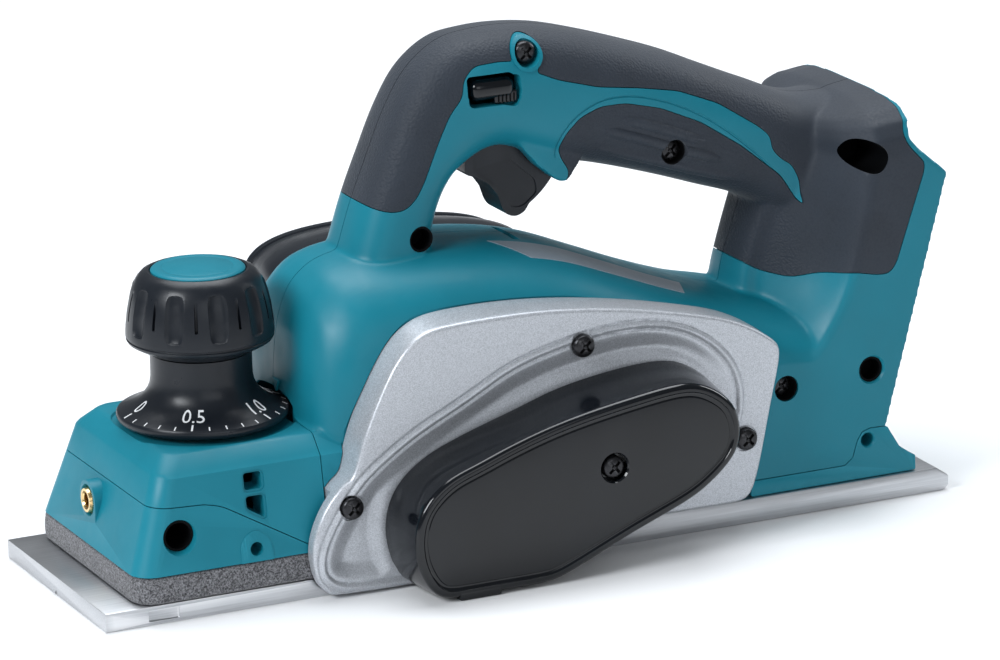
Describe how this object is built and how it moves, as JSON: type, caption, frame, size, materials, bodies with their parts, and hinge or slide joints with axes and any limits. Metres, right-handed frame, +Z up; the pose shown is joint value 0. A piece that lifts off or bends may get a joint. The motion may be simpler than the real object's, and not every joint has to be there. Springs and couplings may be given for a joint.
{
  "type": "electric hand planer",
  "caption": "Battery electric hand planer with a closed handle, round depth knob, cast side plate, gloss belt cover and an open battery dock.",
  "frame": {"origin": "centre of the whole sole, on its underside", "axes": "+X along the sole towards the back of the tool, +Y out of the chip nozzle's side, +Z up out of the work"},
  "size_m": [0.2903, 0.154, 0.161],
  "materials": {
    "teal": "satin moulded",
    "grip": "fine textured",
    "dark": "satin moulded",
    "gloss": "glossy",
    "cast": "silver paint",
    "sole": "milled",
    "steel": "machined",
    "screw": "black oxide",
    "brass": "machined",
    "copper": "copper wound",
    "foam": "speckled felt foam",
    "belt": "matt"
  },
  "bodies": {
    "root": {"rear_base": "sole", "front_housing_upper": "teal", "front_housing_lower": "teal", "foam_seal": "foam", "brass_insert": "brass", "knob_spring": "steel", "housing_left": "teal", "housing_right": "teal", "grip_left": "grip", "grip_right": "grip", "side_plate": "cast", "belt_cover": "gloss", "drive_belt": "belt", "chip_nozzle": "dark", "lower_rear_cover": "teal", "far_bearing_cover": "dark", "drum_bearing_near": "steel", "drum_bearing_far": "steel", "motor_can": "steel", "brush_holder_front": "brass", "brush_holder_rear": "brass", "motor_bearing_near": "steel", "motor_bearing_far": "steel", "switch_body": "dark", "terminal_block": "dark", "trigger_pin": "steel", "foot_pin": "steel", "handle_screw_front": "screw", "handle_screw_rear": "screw", "housing_screw": "screw", "plate_screw_top": "screw", "plate_screw_front": "screw", "plate_screw_rear": "screw", "cover_screw": "screw"},
    "depth_knob": {"knob_head": "dark", "knob_dial": "dark", "knob_cap": "teal", "adjusting_stud": "steel"},
    "front_base": {"front_base": "sole"},
    "cutter_drum": {"cutter_drum": "steel", "blade_a": "steel", "blade_b": "steel", "blade_clamp_a": "steel", "blade_clamp_b": "steel", "drum_pulley": "cast"},
    "rotor": {"motor_shaft": "steel", "armature": "copper", "commutator": "copper", "motor_fan": "dark", "motor_pulley": "cast"},
    "trigger": {"trigger": "dark"},
    "lock_button": {"lock_button": "gloss"},
    "parking_foot": {"parking_foot": "dark"}
  },
  "joints": [
    {"name": "depth_knob_turn", "type": "hinge", "parent": "root", "child": "depth_knob", "pos_m": [-0.0944, 0, 0.06], "axis": [0, 0, 1], "range_deg": [-240, 0]},
    {"name": "front_base_slide", "type": "slide", "parent": "root", "child": "front_base", "axis": [0, 0, 1], "range_m": [0, 0.002], "deforming": ["foam_seal", "knob_spring"]},
    {"name": "drum_spin", "type": "hinge", "parent": "root", "child": "cutter_drum", "pos_m": [-0.0245, 0, 0.0235], "axis": [0, 1, 0], "continuous": true},
    {"name": "motor_spin", "type": "hinge", "parent": "root", "child": "rotor", "pos_m": [0.036, 0, 0.04], "axis": [0, 1, 0], "continuous": true},
    {"name": "trigger_pull", "type": "hinge", "parent": "root", "child": "trigger", "pos_m": [-0.002, 0, 0.13], "axis": [0, -1, 0], "range_deg": [0, 12], "stiffness_Nm_per_rad": 0.05},
    {"name": "lock_button_push", "type": "slide", "parent": "root", "child": "lock_button", "axis": [0, 1, 0], "range_m": [0, 0.003], "stiffness_N_per_m": 200},
    {"name": "parking_foot_swing", "type": "hinge", "parent": "root", "child": "parking_foot", "pos_m": [0.118, 0.021, 0.0155], "axis": [0, 1, 0], "range_deg": [0, 25]}
  ],
  "couplings": [
    {"joint": "front_base_slide", "follows": "depth_knob_turn", "m_per_rad": -0.00047746},
    {"joint": "motor_spin", "follows": "drum_spin", "ratio": 2}
  ]
}
